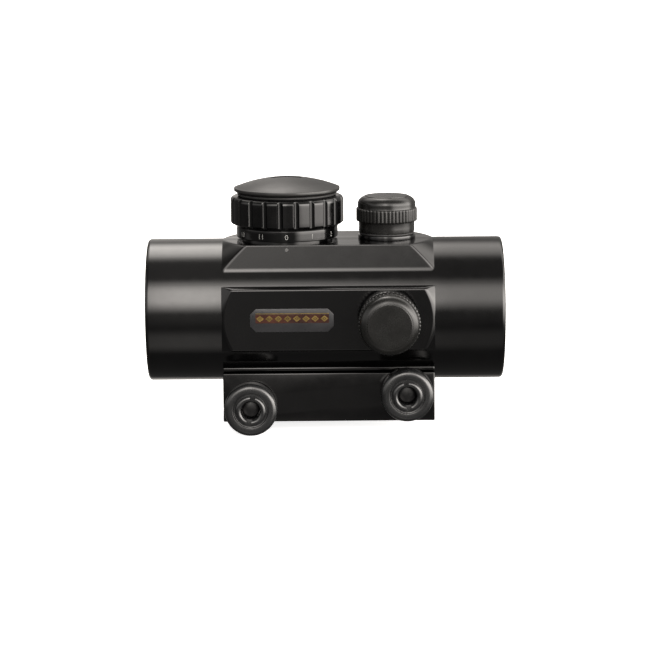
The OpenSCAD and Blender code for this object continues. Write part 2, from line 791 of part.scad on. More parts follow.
main_housing();
index_dot();
badge_plate();
rear_window();
rear_window_seal();
rear_retaining_ring();
front_window();
front_window_seal();
front_spacer_ring();
front_retaining_ring();
pivot_ring();
inner_tube();
reflector_lens();
corrector_lens();
lens_lock_ring();
led_holder();
led_emitter();
led_wires();
bias_spring();
switch_base();
switch_board();
detent_ball();
detent_spring();
knob_clip();
knob_grip();
dial_ring();
switch_wiper();
battery_tray();
tray_contact();
battery();
battery_cap();
cap_contact();
battery_cap_seal();
elevation_base();
elevation_dial();
elevation_plunger();
elevation_cap();
elevation_cap_seal();
windage_base();
windage_dial();
windage_plunger();
windage_cap();
windage_cap_seal();
clamp_plate();
cross_bolts();
clamp_washers();
rear_thumb_nut();
front_thumb_nut();
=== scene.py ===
"""Tube-type red dot finder: the looks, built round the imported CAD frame. Metres, +X to the front, +Z up."""

import json
import math

import bmesh
import bpy
import numpy as np
from mathutils import Matrix, Vector


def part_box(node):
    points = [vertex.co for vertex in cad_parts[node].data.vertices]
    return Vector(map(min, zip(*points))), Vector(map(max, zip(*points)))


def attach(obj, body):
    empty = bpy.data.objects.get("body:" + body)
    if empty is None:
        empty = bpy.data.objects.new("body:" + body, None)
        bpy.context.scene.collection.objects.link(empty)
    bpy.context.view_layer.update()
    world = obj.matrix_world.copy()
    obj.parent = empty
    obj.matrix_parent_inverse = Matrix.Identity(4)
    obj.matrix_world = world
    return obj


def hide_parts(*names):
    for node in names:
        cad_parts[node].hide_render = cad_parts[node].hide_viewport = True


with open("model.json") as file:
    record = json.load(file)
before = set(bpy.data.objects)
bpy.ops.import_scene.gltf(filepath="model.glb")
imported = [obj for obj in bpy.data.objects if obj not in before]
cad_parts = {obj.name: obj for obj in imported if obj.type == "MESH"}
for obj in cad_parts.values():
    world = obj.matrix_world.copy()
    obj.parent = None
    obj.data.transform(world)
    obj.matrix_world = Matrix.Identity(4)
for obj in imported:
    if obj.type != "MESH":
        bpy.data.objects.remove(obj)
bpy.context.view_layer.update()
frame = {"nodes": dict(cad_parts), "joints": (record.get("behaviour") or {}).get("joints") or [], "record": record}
NODES = frame["nodes"]
MM = 0.001
TAU = 2 * math.pi

# ---------------------------------------------------------------- places from the frame


def extent(node):
    """Lowest and highest corner of a CAD node, in millimetres."""
    low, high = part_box(node)
    return [1000 * v for v in low], [1000 * v for v in high]


def pivot(joint):
    """A joint's place, in millimetres."""
    return [1000 * v for v in next(j for j in frame["joints"] if j["name"] == joint)["pos_m"]]


HOUSE_LOW, HOUSE_HIGH = extent("main_housing")
TUBE_LOW, TUBE_HIGH = extent("rear_window")
AXIS_Z = (TUBE_LOW[2] + TUBE_HIGH[2]) / 2
TUBE_R = 19.35
REAR_X, FRONT_X = HOUSE_LOW[0], HOUSE_HIGH[0]
PLATE_LOW, PLATE_HIGH = extent("clamp_plate")
BLOCK_HALF = PLATE_HIGH[0]
KNOB_X, _, DECK_Z = pivot("brightness_turn")
TURRET_X = pivot("elevation_turn")[0]
PANEL_Y = -pivot("windage_turn")[1]
FOOT_Y = -PLATE_LOW[1]
FOOT_LOW = PLATE_LOW[2]
DECK_H = DECK_Z - AXIS_Z
BOLTS = [(pivot(joint)[0], pivot(joint)[2]) for joint in ("rear_nut_turn", "front_nut_turn")]

# ---------------------------------------------------------------- mesh helpers


def mesh_object(name, verts_mm, faces, sharp=35):
    """Makes an object from points in millimetres; edges sharper than `sharp` degrees stay crisp."""
    mesh = bpy.data.meshes.new(name)
    mesh.from_pydata([tuple(c * MM for c in v) for v in verts_mm], [], faces)
    mesh.validate()
    work = bmesh.new()
    work.from_mesh(mesh)
    bmesh.ops.recalc_face_normals(work, faces=work.faces)
    work.to_mesh(mesh)
    work.free()
    obj = bpy.data.objects.new(name, mesh)
    bpy.context.scene.collection.objects.link(obj)
    smooth(obj, sharp)
    return obj


def smooth(obj, sharp=35):
    obj.data.polygons.foreach_set("use_smooth", [True] * len(obj.data.polygons))
    obj.data.set_sharp_from_angle(angle=math.radians(sharp))
    return obj


def apply_modifiers(obj):
    """Bakes the object's modifiers into its mesh."""
    bpy.context.view_layer.update()
    done = bpy.data.meshes.new_from_object(obj.evaluated_get(bpy.context.evaluated_depsgraph_get()))
    old = obj.data
    obj.modifiers.clear()
    obj.data = done
    done.name = obj.name
    bpy.data.meshes.remove(old)
    return obj


def round_edges(obj, width, segments=3, angle=30):
    """Rounds every edge that turns by more than `angle` degrees."""
    mod = obj.modifiers.new("round", "BEVEL")
    mod.width = width * MM
    mod.segments = segments
    mod.limit_method = "ANGLE"
    mod.angle_limit = math.radians(angle)
    mod.miter_outer = "MITER_ARC"
    mod.use_clamp_overlap = True
    apply_modifiers(obj)
    return smooth(obj, 40)


def carve(obj, cutters, operation="DIFFERENCE"):
    """Cuts the cutters out of obj, or joins them to it, and removes them."""
    for cutter in cutters:
        mod = obj.modifiers.new("carve", "BOOLEAN")
        mod.operation = operation
        mod.solver = "EXACT"
        mod.object = cutter
        apply_modifiers(obj)
        old = cutter.data
        bpy.data.objects.remove(cutter)
        bpy.data.meshes.remove(old)
    return obj


def ring_surface(rings, closed):
    """Faces of a tube of rings of equal point count; closed joins the last ring to the first."""
    count = len(rings[0])
    faces = []
    for i in range(len(rings) if closed else len(rings) - 1):
        a, b = i * count, ((i + 1) % len(rings)) * count
        for k in range(count):
            n = (k + 1) % count
            faces.append((a + k, a + n, b + n, b + k))
    return faces


def turned(name, profile, steps=160, shape=None, sharp=35, hollow=False):
    """Turns a profile of (radius, height) round +Z. shape(angle, radius, height) may change the radius.

    A hollow profile is a closed loop; any other starts and ends on the axis and is capped there.
    """
    rings, body = [], profile if hollow else profile[1:-1]
    for radius, height in body:
        ring = []
        for k in range(steps):
            angle = TAU * k / steps
            r = shape(angle, radius, height) if shape else radius
            ring.append((r * math.cos(angle), r * math.sin(angle), height))
        rings.append(ring)
    verts = [v for ring in rings for v in ring]
    faces = ring_surface(rings, hollow)
    if not hollow:
        for (_, height), ring_index in ((profile[0], 0), (profile[-1], len(rings) - 1)):
            verts.append((0, 0, height))
            hub, base = len(verts) - 1, ring_index * steps
            faces += [(hub, base + k, base + (k + 1) % steps) for k in range(steps)]
    return mesh_object(name, verts, faces, sharp)


def prism(name, outline, low, high, axis="X"):
    """Extrudes an outline along an axis: (y, z) points along X, (x, z) points along Y, (x, y) along Z."""
    def place(p, along):
        return {"X": (along, p[0], p[1]), "Y": (p[0], along, p[1]), "Z": (p[0], p[1], along)}[axis]
    count = len(outline)
    verts = [place(p, low) for p in outline] + [place(p, high) for p in outline]
    faces = [tuple(range(count)), tuple(range(2 * count - 1, count - 1, -1))]
    faces += [(k, (k + 1) % count, count + (k + 1) % count, count + k) for k in range(count)]
    return mesh_object(name, verts, faces, 30)


def cutting_rod(radius, low, high):
    """Plain cylinder along +Z, for cutting."""
    return turned("cut", [(0, low), (radius, low), (radius, high), (0, high)], 64)


def arc(cx, cy, radius, start, end, steps=6):
    """Points of an arc from start to end, in degrees."""
    return [
        (cx + radius * math.cos(math.radians(start + (end - start) * i / steps)),
         cy + radius * math.sin(math.radians(start + (end - start) * i / steps)))
        for i in range(steps + 1)
    ]


def join(pieces, name):
    """Puts several pieces into the first one's mesh."""
    work = bmesh.new()
    for piece in pieces:
        work.from_mesh(piece.data)
    work.to_mesh(pieces[0].data)
    work.free()
    for piece in pieces[1:]:
        old = piece.data
        bpy.data.objects.remove(piece)
        bpy.data.meshes.remove(old)
    pieces[0].name = name
    return smooth(pieces[0], 30)


def moved(obj, matrix):
    obj.data.transform(matrix)
    return obj


def stand_on_deck(obj, x):
    return moved(obj, Matrix.Translation((x * MM, 0, DECK_Z * MM)))


def stand_on_panel(obj):
    place = Matrix.Translation((TURRET_X * MM, -PANEL_Y * MM, AXIS_Z * MM))
    return moved(obj, place @ Matrix.Rotation(math.radians(90), 4, "X"))


def lay_on_bolt(obj, index, y):
    """Lays a piece made along +Z on a cross bolt's line, pointing to the near side."""
    x, z = BOLTS[index]
    place = Matrix.Translation((x * MM, y * MM, z * MM))
    return moved(obj, place @ Matrix.Rotation(math.radians(90), 4, "X"))


def along_tube(obj):
    """Lays a piece turned round +Z along the optical axis."""
    return moved(obj, Matrix.Translation((0, 0, AXIS_Z * MM)) @ Matrix.Rotation(math.radians(90), 4, "Y"))


# ---------------------------------------------------------------- materials


TOOL_MARK_PITCH = 0.16


class Nodes:
    """Short names for building a node material."""

    def __init__(self, name):
        self.material = bpy.data.materials.new(name)
        self.material.use_nodes = True
        self.tree = self.material.node_tree
        self.shader = self.tree.nodes["Principled BSDF"]
        self.place = self.tree.nodes.new("ShaderNodeTexCoord").outputs["Object"]

    def new(self, kind, **settings):
        node = self.tree.nodes.new(kind)
        for key, value in settings.items():
            if hasattr(node, key):
                setattr(node, key, value)
            else:
                node.inputs[key.replace("_", " ")].default_value = value
        return node

    def link(self, a, b):
        self.tree.links.new(a, b)

    def noise(self, scale, detail=3.0, rough=0.5):
        node = self.new("ShaderNodeTexNoise", Scale=scale, Detail=detail, Roughness=rough)
        self.link(self.place, node.inputs["Vector"])
        return node.outputs["Fac"]

    def ramp(self, fac, stops):
        """Colour by value; a stop is (position, colour)."""
        node = self.new("ShaderNodeValToRGB")
        elements = node.color_ramp.elements
        while len(elements) < len(stops):
            elements.new(0.5)
        for element, (at, colour) in zip(elements, stops):
            element.position = at
            element.color = (*colour, 1.0) if isinstance(colour, tuple) else (colour,) * 3 + (1.0,)
        self.link(fac, node.inputs["Fac"])
        return node.outputs["Color"]

    def span(self, fac, low, high):
        """Spreads a noise value over low to high."""
        node = self.new("ShaderNodeMapRange")
        node.inputs["To Min"].default_value = low
        node.inputs["To Max"].default_value = high
        node.inputs["From Min"].default_value = 0.3
        node.inputs["From Max"].default_value = 0.7
        self.link(fac, node.inputs["Value"])
        return node.outputs["Result"]

    def bump(self, heights):
        """heights is a list of (height, distance in mm, strength)."""
        normal = None
        for height, distance, strength in heights:
            node = self.new("ShaderNodeBump", Strength=strength, Distance=distance * MM)
            self.link(height, node.inputs["Height"])
            if normal is not None:
                self.link(normal, node.inputs["Normal"])
            normal = node.outputs["Normal"]
        self.link(normal, self.shader.inputs["Normal"])

    def set(self, **values):
        for key, value in values.items():
            self.shader.inputs[key.replace("_", " ")].default_value = value


def blasted_metal(name, dark, light, rough, grain=0.5, specular=0.5):
    """Anodised or blackened metal: cloudy colour, fine blasted grain, faint handling marks."""
    m = Nodes(name)
    cloud = m.noise(180, 4)
    m.link(m.ramp(cloud, [(0.3, dark), (0.72, light)]), m.shader.inputs["Base Color"])
    smudge = m.noise(260, 5, rough=0.65)
    m.link(m.span(smudge, rough - 0.035, rough + 0.045), m.shader.inputs["Roughness"])
    m.bump([(m.noise(9000, 2), 0.003, grain), (m.noise(1500, 3), 0.006, grain * 0.5)])
    m.set(IOR=1.5)
    m.shader.inputs["Specular IOR Level"].default_value = specular
    return m.material


def turned_metal(name, dark, light, rough, axis, centre_mm, specular=0.5, depth=0.35):
    """Lathe-turned metal: fine rings about an axis through centre_mm."""
    m = Nodes(name)
    shift = m.new("ShaderNodeVectorMath", operation="SUBTRACT")
    m.link(m.place, shift.inputs[0])
    shift.inputs[1].default_value = [c * MM for c in centre_mm]
    flat = m.new("ShaderNodeVectorMath", operation="MULTIPLY")
    m.link(shift.outputs["Vector"], flat.inputs[0])
    flat.inputs[1].default_value = {"X": (0, 1, 1), "Y": (1, 0, 1), "Z": (1, 1, 0)}[axis]
    radius = m.new("ShaderNodeVectorMath", operation="LENGTH")
    m.link(flat.outputs["Vector"], radius.inputs[0])
    wave = m.new("ShaderNodeMath", operation="MULTIPLY")
    m.link(radius.outputs["Value"], wave.inputs[0])
    wave.inputs[1].default_value = TAU / (TOOL_MARK_PITCH * MM)
    sine = m.new("ShaderNodeMath", operation="SINE")
    m.link(wave.outputs["Value"], sine.inputs[0])
    m.link(m.ramp(m.noise(220, 4), [(0.3, dark), (0.72, light)]), m.shader.inputs["Base Color"])
    m.link(m.span(m.noise(300, 4), rough - 0.03, rough + 0.05), m.shader.inputs["Roughness"])
    m.bump([(sine.outputs["Value"], 0.002, depth), (m.noise(8000, 2), 0.003, 0.35)])
    m.set(IOR=1.5)
    m.shader.inputs["Specular IOR Level"].default_value = specular
    return m.material


def plain_metal(name, colour, rough):
    """Bright or brass metal with a faint tarnish."""
    m = Nodes(name)
    worn = tuple(c * 0.72 for c in colour)
    m.link(m.ramp(m.noise(420, 5), [(0.35, worn), (0.65, colour)]), m.shader.inputs["Base Color"])
    m.link(m.span(m.noise(700, 4), rough - 0.06, rough + 0.08), m.shader.inputs["Roughness"])
    m.bump([(m.noise(5000, 2), 0.004, 0.35)])
    m.set(Metallic=1.0)
    return m.material


def plastic(name, dark, light, rough, grain=0.4, coat=0.0):
    """Moulded plastic, rubber or paint: cloudy colour, fine grain, and a clear coat if it is glossy."""
    m = Nodes(name)
    m.link(m.ramp(m.noise(240, 4), [(0.3, dark), (0.7, light)]), m.shader.inputs["Base Color"])
    m.link(m.span(m.noise(380, 4), rough - 0.04, rough + 0.06), m.shader.inputs["Roughness"])
    m.bump([(m.noise(6500, 2), 0.004, grain)])
    m.set(IOR=1.48, Coat_Weight=coat, Coat_Roughness=0.08)
    return m.material


def glass(name, tint, coating):
    """Thin coated glass. coating tints the reflection."""
    m = Nodes(name)
    smear = m.noise(160, 4)
    dimmed = tuple(c * 0.97 for c in tint)
    m.link(m.ramp(smear, [(0.3, dimmed), (0.7, tint)]), m.shader.inputs["Base Color"])
    m.link(m.span(smear, 0.02, 0.04), m.shader.inputs["Roughness"])
    m.set(IOR=1.5, Transmission_Weight=1.0, Coat_Weight=0.25, Coat_Roughness=0.02, Coat_IOR=1.8)
    m.shader.inputs["Coat Tint"].default_value = (*coating, 1.0)
    m.shader.inputs["Specular Tint"].default_value = (*coating, 1.0)
    return m.material


def mirror_glass(name):
    """The reflector's face: a see-through mirror that sends red back and passes blue-green. Its base colour is a
    painted sheen: lighter and more golden where the face is seen edge-on.
    """
    m = Nodes(name)
    sheen = m.new("ShaderNodeFresnel", IOR=1.9)
    # painted sheen: the base colour turns from dark red to bright orange as the face is seen more edge-on
    tone = m.ramp(sheen.outputs["Fac"], [(0.08, (0.42, 0.06, 0.03)), (0.45, (0.75, 0.36, 0.08))])
    m.link(tone, m.shader.inputs["Base Color"])
    m.link(m.span(m.noise(200, 3), 0.03, 0.06), m.shader.inputs["Roughness"])
    m.set(IOR=1.6, Metallic=0.55, Transmission_Weight=0.35, Coat_Weight=0.6, Coat_Roughness=0.02)
    return m.material


# Each slot's maker and what it is given; colours run from the darkest to the lightest tone.
MAKERS = {
    "anodised_black": (blasted_metal, (0.0009, 0.0009, 0.0010), (0.0016, 0.0016, 0.0017), 0.13, 0.3),
    "gloss_black": (plastic, (0.0010, 0.0010, 0.0011), (0.0018, 0.0018, 0.0019), 0.15, 0.25),
    "satin_grey_black": (blasted_metal, (0.030, 0.030, 0.028), (0.044, 0.043, 0.040), 0.34, 0.3),
    "dark_nut_metal": (blasted_metal, (0.0052, 0.0055, 0.0058), (0.0090, 0.0094, 0.0100), 0.26, 0.4, 0.8),
    "blackened_steel": (blasted_metal, (0.0022, 0.0022, 0.0024), (0.0045, 0.0045, 0.0048), 0.30, 0.4),
    "white_paint": (plastic, (0.12, 0.12, 0.115), (0.17, 0.17, 0.165), 0.5, 0.3),
    "badge_metal": (blasted_metal, (0.0150, 0.0150, 0.0165), (0.0205, 0.0205, 0.0222), 0.30, 0.3),
    "clear_glass": (glass, (0.93, 0.95, 0.97), (0.55, 0.35, 0.85)),
    "ruby_coated_glass": (mirror_glass,),
    "black_rubber": (plastic, (0.010, 0.010, 0.010), (0.018, 0.018, 0.018), 0.62, 0.6),
    "bright_steel": (plain_metal, (0.62, 0.62, 0.63), 0.26),
    "black_plastic": (plastic, (0.014, 0.014, 0.015), (0.022, 0.022, 0.023), 0.5, 0.6),
    "red_emitter": (plastic, (0.55, 0.03, 0.02), (0.75, 0.05, 0.03), 0.15, 0.1, 0.5),
    "wire_insulation": (plastic, (0.36, 0.03, 0.02), (0.5, 0.05, 0.04), 0.4, 0.3),
    "board_green": (plastic, (0.01, 0.10, 0.05), (0.03, 0.20, 0.09), 0.38, 0.4),
    "contact_brass": (plain_metal, (0.72, 0.53, 0.24), 0.24),
    "cream_plastic": (plastic, (0.62, 0.58, 0.46), (0.74, 0.70, 0.57), 0.5, 0.4),
}
MAT = {slot: maker(slot, *values) for slot, (maker, *values) in MAKERS.items()}


def dress(obj, slot, body, *nodes, material=None):
    """Gives a new piece its material, taken from its slot unless one is given, and its body, and lets it stand for
    CAD nodes.
    """
    obj.data.materials.clear()
    obj.data.materials.append(material or MAT[slot])
    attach(obj, body)
    if nodes:
        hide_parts(*nodes)
    return obj


# ---------------------------------------------------------------- housing

DECK_HALF_W = 13.8
FACET_RUN, FACET_RISE = 0.92, 7.0
DECK_ROUND, FACET_FILLET, PANEL_ROUND = 0.28, 0.45, 2.4
PANEL_HALF_H = 8.75
CONE_SLOPE = 1.43
CONE_ROUND = 0.5
FACET_FOOT_ANGLE = 40.6
BORE_R = 17.5
BORE_LIP = 0.25
THREAD_ROOT_R = BORE_R + 0.28
RING_THREAD_PITCH = 0.6
RIM_R = 1.0
SHOULDER_R = 15.4
LEDGE_DROP, LEDGE_T = 13.5, 1.1
PLATE_DROP = 15.15
RAIL_SEAT_Z, FLANK_Z = 0.3, -2.9
HOOK_Y, FLANK_Y = 9.2, 10.9
SWITCH_BORE_R, TURRET_BORE_R, DETENT_BORE_R = 5.95, 4.45, 0.95
DETENT_REACH = 10.8
BOLT_BORE_R, HEAD_BORE_R = 2.6, 4.2
BORE_STEPS = {
    "rear_ring": TUBE_LOW[0] - 1.8,
    "rear_shoulder": TUBE_HIGH[0] + 0.5,
    "front_shoulder": FRONT_X - 9.3,
    "front_ring_end": FRONT_X - 3.5,
}


def soft_min(a, b, k):
    """The smaller of a and b, with the corner between them rounded over k."""
    h = np.maximum(k - np.abs(a - b), 0.0)
    return np.minimum(a, b) - h * h / (4 * k)


def soft_max(a, b, k):
    return -soft_min(-a, -b, k)


def block_radius(angle):
    """Distance from the optical axis to the block's outline; 0 is towards +Y, 90 degrees is up."""
    c, s = np.abs(np.cos(angle)), np.sin(angle)
    length = math.hypot(FACET_RUN, FACET_RISE)
    reach = (FACET_RISE * DECK_HALF_W + FACET_RUN * DECK_H) / length
    facet = reach / np.maximum((FACET_RISE * c + FACET_RUN * s) / length, 1e-3)
    deck = soft_min(DECK_H / np.maximum(s, 1e-3), facet, DECK_ROUND)
    deck = np.where(deck > TUBE_R - FACET_FILLET, soft_max(TUBE_R, deck, FACET_FILLET), 0.0)
    side = soft_min(PANEL_Y / np.maximum(c, 1e-3), PANEL_HALF_H / np.maximum(np.abs(s), 1e-3), PANEL_ROUND)
    return np.maximum(np.where(s > 0, deck, 0.0), side)


def surface_radius(x, angle):
    """Radius of the tube with its block at x, in the direction angle."""
    cone = TUBE_R + (BLOCK_HALF - np.abs(x)) / CONE_SLOPE
    return np.maximum(TUBE_R, soft_min(block_radius(angle), cone, CONE_ROUND))


def block_angles():
    """Directions for the grid's lengthwise lines, close together at the outline's edges."""
    quarter = []
    edges = {
        math.degrees(math.atan2(DECK_H, DECK_HALF_W)): 1.2,
        FACET_FOOT_ANGLE: 2.6,
        math.degrees(math.atan2(PANEL_HALF_H, PANEL_Y)): 2.7,
        math.degrees(math.asin(PANEL_HALF_H / TUBE_R)): 1.0,
    }
    for edge, spread in edges.items():
        quarter += list(edge + np.linspace(-spread, spread, 15))
    quarter += list(np.linspace(0, 90, 46))
    quarter = sorted(quarter)
    kept = [quarter[0]]
    for value in quarter[1:]:
        if value - kept[-1] > 0.09:
            kept.append(value)
    kept[-1] = 90.0
    upper = kept + [180 - a for a in reversed(kept[:-1])]
    lower = [-a for a in reversed(upper[1:-1])]
    return np.radians(np.array(upper + lower))


def cone_places(angles):
    """X of every grid ring from the block's middle to its end, bent to follow the cone's edge."""
    outline = np.maximum(block_radius(angles), TUBE_R)
    edge = BLOCK_HALF - CONE_SLOPE * (outline - TUBE_R)
    rings = [np.zeros_like(angles), edge * 0.5]
    for step in (-1.0, -0.72, -0.54, -0.38, -0.24, -0.12, 0.0, 0.12, 0.24, 0.38, 0.54, 0.72):
        rings.append(np.minimum(edge, BLOCK_HALF - 0.9) + step)
    last = rings[-1]
    for share in (0.2, 0.4, 0.6, 0.8):
        rings.append(last + (BLOCK_HALF - 0.14 - last) * share)
    for step in (-0.12, -0.04, 0.04, 0.12, 0.4):
        rings.append(np.full_like(angles, BLOCK_HALF + step))
    return rings


def thread_steps(start, end):
    """Profile of fine V grooves on the bore, from start to end along X."""
    points = []
    turns = max(1, int(abs(end - start) / RING_THREAD_PITCH))
    sign = 1 if end > start else -1
    for i in range(turns):
        at = start + sign * RING_THREAD_PITCH * i
        for share, radius in ((0.12, BORE_R), (0.5, THREAD_ROOT_R), (0.88, BORE_R)):
            points.append((at + sign * share * RING_THREAD_PITCH, radius))
    return points


def make_shell():
    """The tube with its block and stepped bore, as one closed grid of rings."""
    angles = block_angles()
    count = len(angles)
    outer = []
    half = cone_places(angles)
    mirrored = [-ring for ring in reversed(half[1:])]
    rim = [(FRONT_X - RIM_R + RIM_R * math.sin(t), TUBE_R - RIM_R + RIM_R * math.cos(t))
           for t in np.linspace(0, math.pi / 2, 7)]
    back = [(REAR_X + FRONT_X - x, r) for x, r in reversed(rim)]
    for x, r in back:
        outer.append((np.full(count, x), np.full(count, r)))
    for ring in mirrored + half:
        outer.append((ring, surface_radius(ring, angles)))
    for x, r in rim:
        outer.append((np.full(count, x), np.full(count, r)))
    steps = BORE_STEPS
    bore = [(FRONT_X, BORE_R + BORE_LIP), (FRONT_X - BORE_LIP, BORE_R)]
    bore += thread_steps(FRONT_X - 0.5, steps["front_ring_end"] + 0.1)
    bore += [
        (steps["front_ring_end"], BORE_R), (steps["front_shoulder"] - 6, BORE_R), (0, BORE_R),
        (steps["rear_shoulder"] + 1.5, BORE_R), (steps["rear_shoulder"] + 1.5, SHOULDER_R),
        (steps["rear_shoulder"], SHOULDER_R), (steps["rear_shoulder"], BORE_R),
        (steps["rear_ring"], BORE_R),
    ]
    bore += thread_steps(steps["rear_ring"] - 0.1, REAR_X + 0.5)
    bore += [(REAR_X + BORE_LIP, BORE_R), (REAR_X, BORE_R + BORE_LIP)]
    rings = [list(zip(x, r * np.cos(angles), AXIS_Z + r * np.sin(angles))) for x, r in outer]
    rings += [[(x, r * math.cos(a), AXIS_Z + r * math.sin(a)) for a in angles] for x, r in bore]
    verts = [v for ring in rings for v in ring]
    return mesh_object("housing", verts, ring_surface(rings, True), 32)


def make_foot():
    """Foot under the tube, open on the near side for the clamp plate, with the rail's channel."""
    ledge = AXIS_Z - LEDGE_DROP
    wall = PLATE_LOW[1] + 4.1
    sunk_r = 18.0
    side = math.degrees(math.asin(LEDGE_DROP / sunk_r))
    outline = [
        (wall, RAIL_SEAT_Z), (FLANK_Y, RAIL_SEAT_Z), (FLANK_Y, FLANK_Z), (HOOK_Y, FOOT_LOW),
        (FOOT_Y, FOOT_LOW), (FOOT_Y, ledge),
    ]
    outline += [(y, AXIS_Z + z) for y, z in arc(0, 0, sunk_r, -side, side - 180, 24)]
    outline += [(-FOOT_Y, ledge), (-FOOT_Y, ledge - LEDGE_T), (wall, ledge - LEDGE_T)]
    foot = prism("foot", outline, -BLOCK_HALF, BLOCK_HALF)
    return round_edges(foot, 0.38, 4, 40)


def make_housing():
    """Tube, block and foot in one piece, with the bores for the switch, the turrets and the bolts."""
    shell = make_shell()
    carve(shell, [make_foot()], "UNION")
    cutters = [
        stand_on_deck(cutting_rod(SWITCH_BORE_R, -4, 1), KNOB_X),
        stand_on_deck(cutting_rod(DETENT_BORE_R, -1, 1), KNOB_X - DETENT_REACH),
        stand_on_deck(cutting_rod(TURRET_BORE_R, -4, 1), TURRET_X),
        stand_on_panel(cutting_rod(TURRET_BORE_R, -4, 1)),
    ]
    for index in (0, 1):
        cutters.append(lay_on_bolt(cutting_rod(BOLT_BORE_R, -30, 30), index, 0))
        cutters.append(lay_on_bolt(cutting_rod(HEAD_BORE_R, -FOOT_Y - 1, -FOOT_Y + 2.2), index, 0))
    carve(shell, cutters)
    smooth(shell, 32)
    return dress(shell, "anodised_black", "housing", "main_housing")


# ---------------------------------------------------------------- knob

FLUTES = 22
FLUTE_R = 0.75
FLUTE_PHASE = math.radians(-90 + 10.1)
GRIP_R = 15.4
GRIP_TOP = 11.9
GRIP_EDGE_R = 1.3
DIAL_R = 13.75
DIGIT_COUNT = 12
DIGIT_SIZE = 1.95
DIGIT_BASE_H = 1.38
CAP_R = 14.4
CAP_RIM_H, CAP_APEX_H = 14.05, 16.89
COIN_SLOT_R, COIN_SLOT_LIFT, COIN_SLOT_HALF_W = 8.6, 7.2, 1.2


def flute_radius(angle, radius, height):
    """Radius of the grip where a round groove may cut into it."""
    if radius < 14.0:
        return radius
    turn = (angle - FLUTE_PHASE + math.pi / FLUTES) % (TAU / FLUTES) - math.pi / FLUTES
    middle = GRIP_R + 0.1
    across = middle * math.sin(turn)
    if abs(across) >= FLUTE_R:
        bottom = middle + 2 * (abs(across) - FLUTE_R)
    else:
        bottom = middle * math.cos(turn) - math.sqrt(FLUTE_R ** 2 - across ** 2)
    return float(soft_min(np.float64(radius), np.float64(bottom), 0.10))


def make_grip():
    """Fluted grip: a hollow ring with a chamfer below and a rounded top edge."""
    profile = [
        (3.48, 3.6), (9.95, 3.6), (9.95, 2.0), (12.25, 2.0), (12.25, 3.65), (13.6, 3.65), (DIAL_R, 3.7),
    ]
    profile += [(DIAL_R + 1.55 * t, 3.72 + 0.95 * t) for t in (0.06, 0.3, 0.5, 0.65, 0.8, 0.92)]
    profile += [(15.33, 4.74), (15.39, 4.84)] + [(GRIP_R, height) for height in (4.95, 6.0, 8.0, 10.0)]
    profile += arc(GRIP_R - GRIP_EDGE_R, GRIP_TOP - GRIP_EDGE_R, GRIP_EDGE_R, 0, 90, 14)
    profile += [
        (13.9, 11.9), (12.1, 11.9), (12.0, 11.8), (12.0, 8.8), (11.0, 8.8),
        (11.0, 6.3), (9.0, 6.3), (9.0, 4.8), (3.48, 4.8),
    ]
    grip = turned("knob_grip_flutes", profile, FLUTES * 40, flute_radius, 38, hollow=True)
    stand_on_deck(grip, KNOB_X)
    return dress(grip, "gloss_black", "knob", "knob_grip")


def make_dial():
    """Plain ring under the grip that carries the numbers."""
    profile = [(12.3, 0.75), (12.4, 0.7), (13.5, 0.7), (13.66, 0.74), (13.74, 0.84)]
    profile += [(DIAL_R, height) for height in (0.95, 1.6, 2.6, 3.45)]
    profile += [(13.73, 3.55), (13.66, 3.62), (12.4, 3.62), (12.3, 3.58)]
    ring = turned("knob_dial", profile, 240, None, 38, hollow=True)
    stand_on_deck(ring, KNOB_X)
    dress(ring, "anodised_black", "knob", "dial_ring")


def digit_mesh(number):
    """Flat raised digits of a number, centred on X and standing on Y = 0; units of the font."""
    curve = bpy.data.curves.new(f"digits_{number}", "FONT")
    curve.body = str(number)
    curve.size = DIGIT_SIZE
    curve.align_x = "CENTER"
    curve.extrude = 0.035
    curve.offset = 0.012
    curve.resolution_u = 3
    text = bpy.data.objects.new(f"digits_{number}", curve)
    bpy.context.scene.collection.objects.link(text)
    bpy.context.view_layer.update()
    mesh = bpy.data.meshes.new_from_object(text.evaluated_get(bpy.context.evaluated_depsgraph_get()))
    bpy.data.objects.remove(text)
    bpy.data.curves.remove(curve)
    return mesh


def make_numbers():
    """Dial numbers 0 to 11, wrapped on the ring, as one raised piece."""
    work = bmesh.new()
    for number in range(DIGIT_COUNT):
        mesh = digit_mesh(number)
        middle = math.radians(-90 + 360 / DIGIT_COUNT * number)
        for v in mesh.vertices:
            angle = middle + v.co.x / DIAL_R
            r = DIAL_R + 0.005 + v.co.z
            height = DIGIT_BASE_H + v.co.y
            v.co = (r * math.cos(angle) * MM, r * math.sin(angle) * MM, height * MM)
        work.from_mesh(mesh)
        bpy.data.meshes.remove(mesh)
    bmesh.ops.remove_doubles(work, verts=work.verts, dist=0.0005 * MM)
    joined = bpy.data.meshes.new("dial_numbers")
    work.to_mesh(joined)
    work.free()
    obj = bpy.data.objects.new("dial_numbers", joined)
    bpy.context.scene.collection.objects.link(obj)
    stand_on_deck(obj, KNOB_X)
    dress(obj, "white_paint", "knob")


def crown_points(radius, low, top, steps):
    """Points of a shallow dome from its rim at height low to its apex at height top."""
    rise = top - low
    big = (radius * radius + rise * rise) / (2 * rise)
    return [
        (radius * (1 - i / steps), top - big + math.sqrt(big * big - (radius * (1 - i / steps)) ** 2))
        for i in range(steps + 1)
    ]


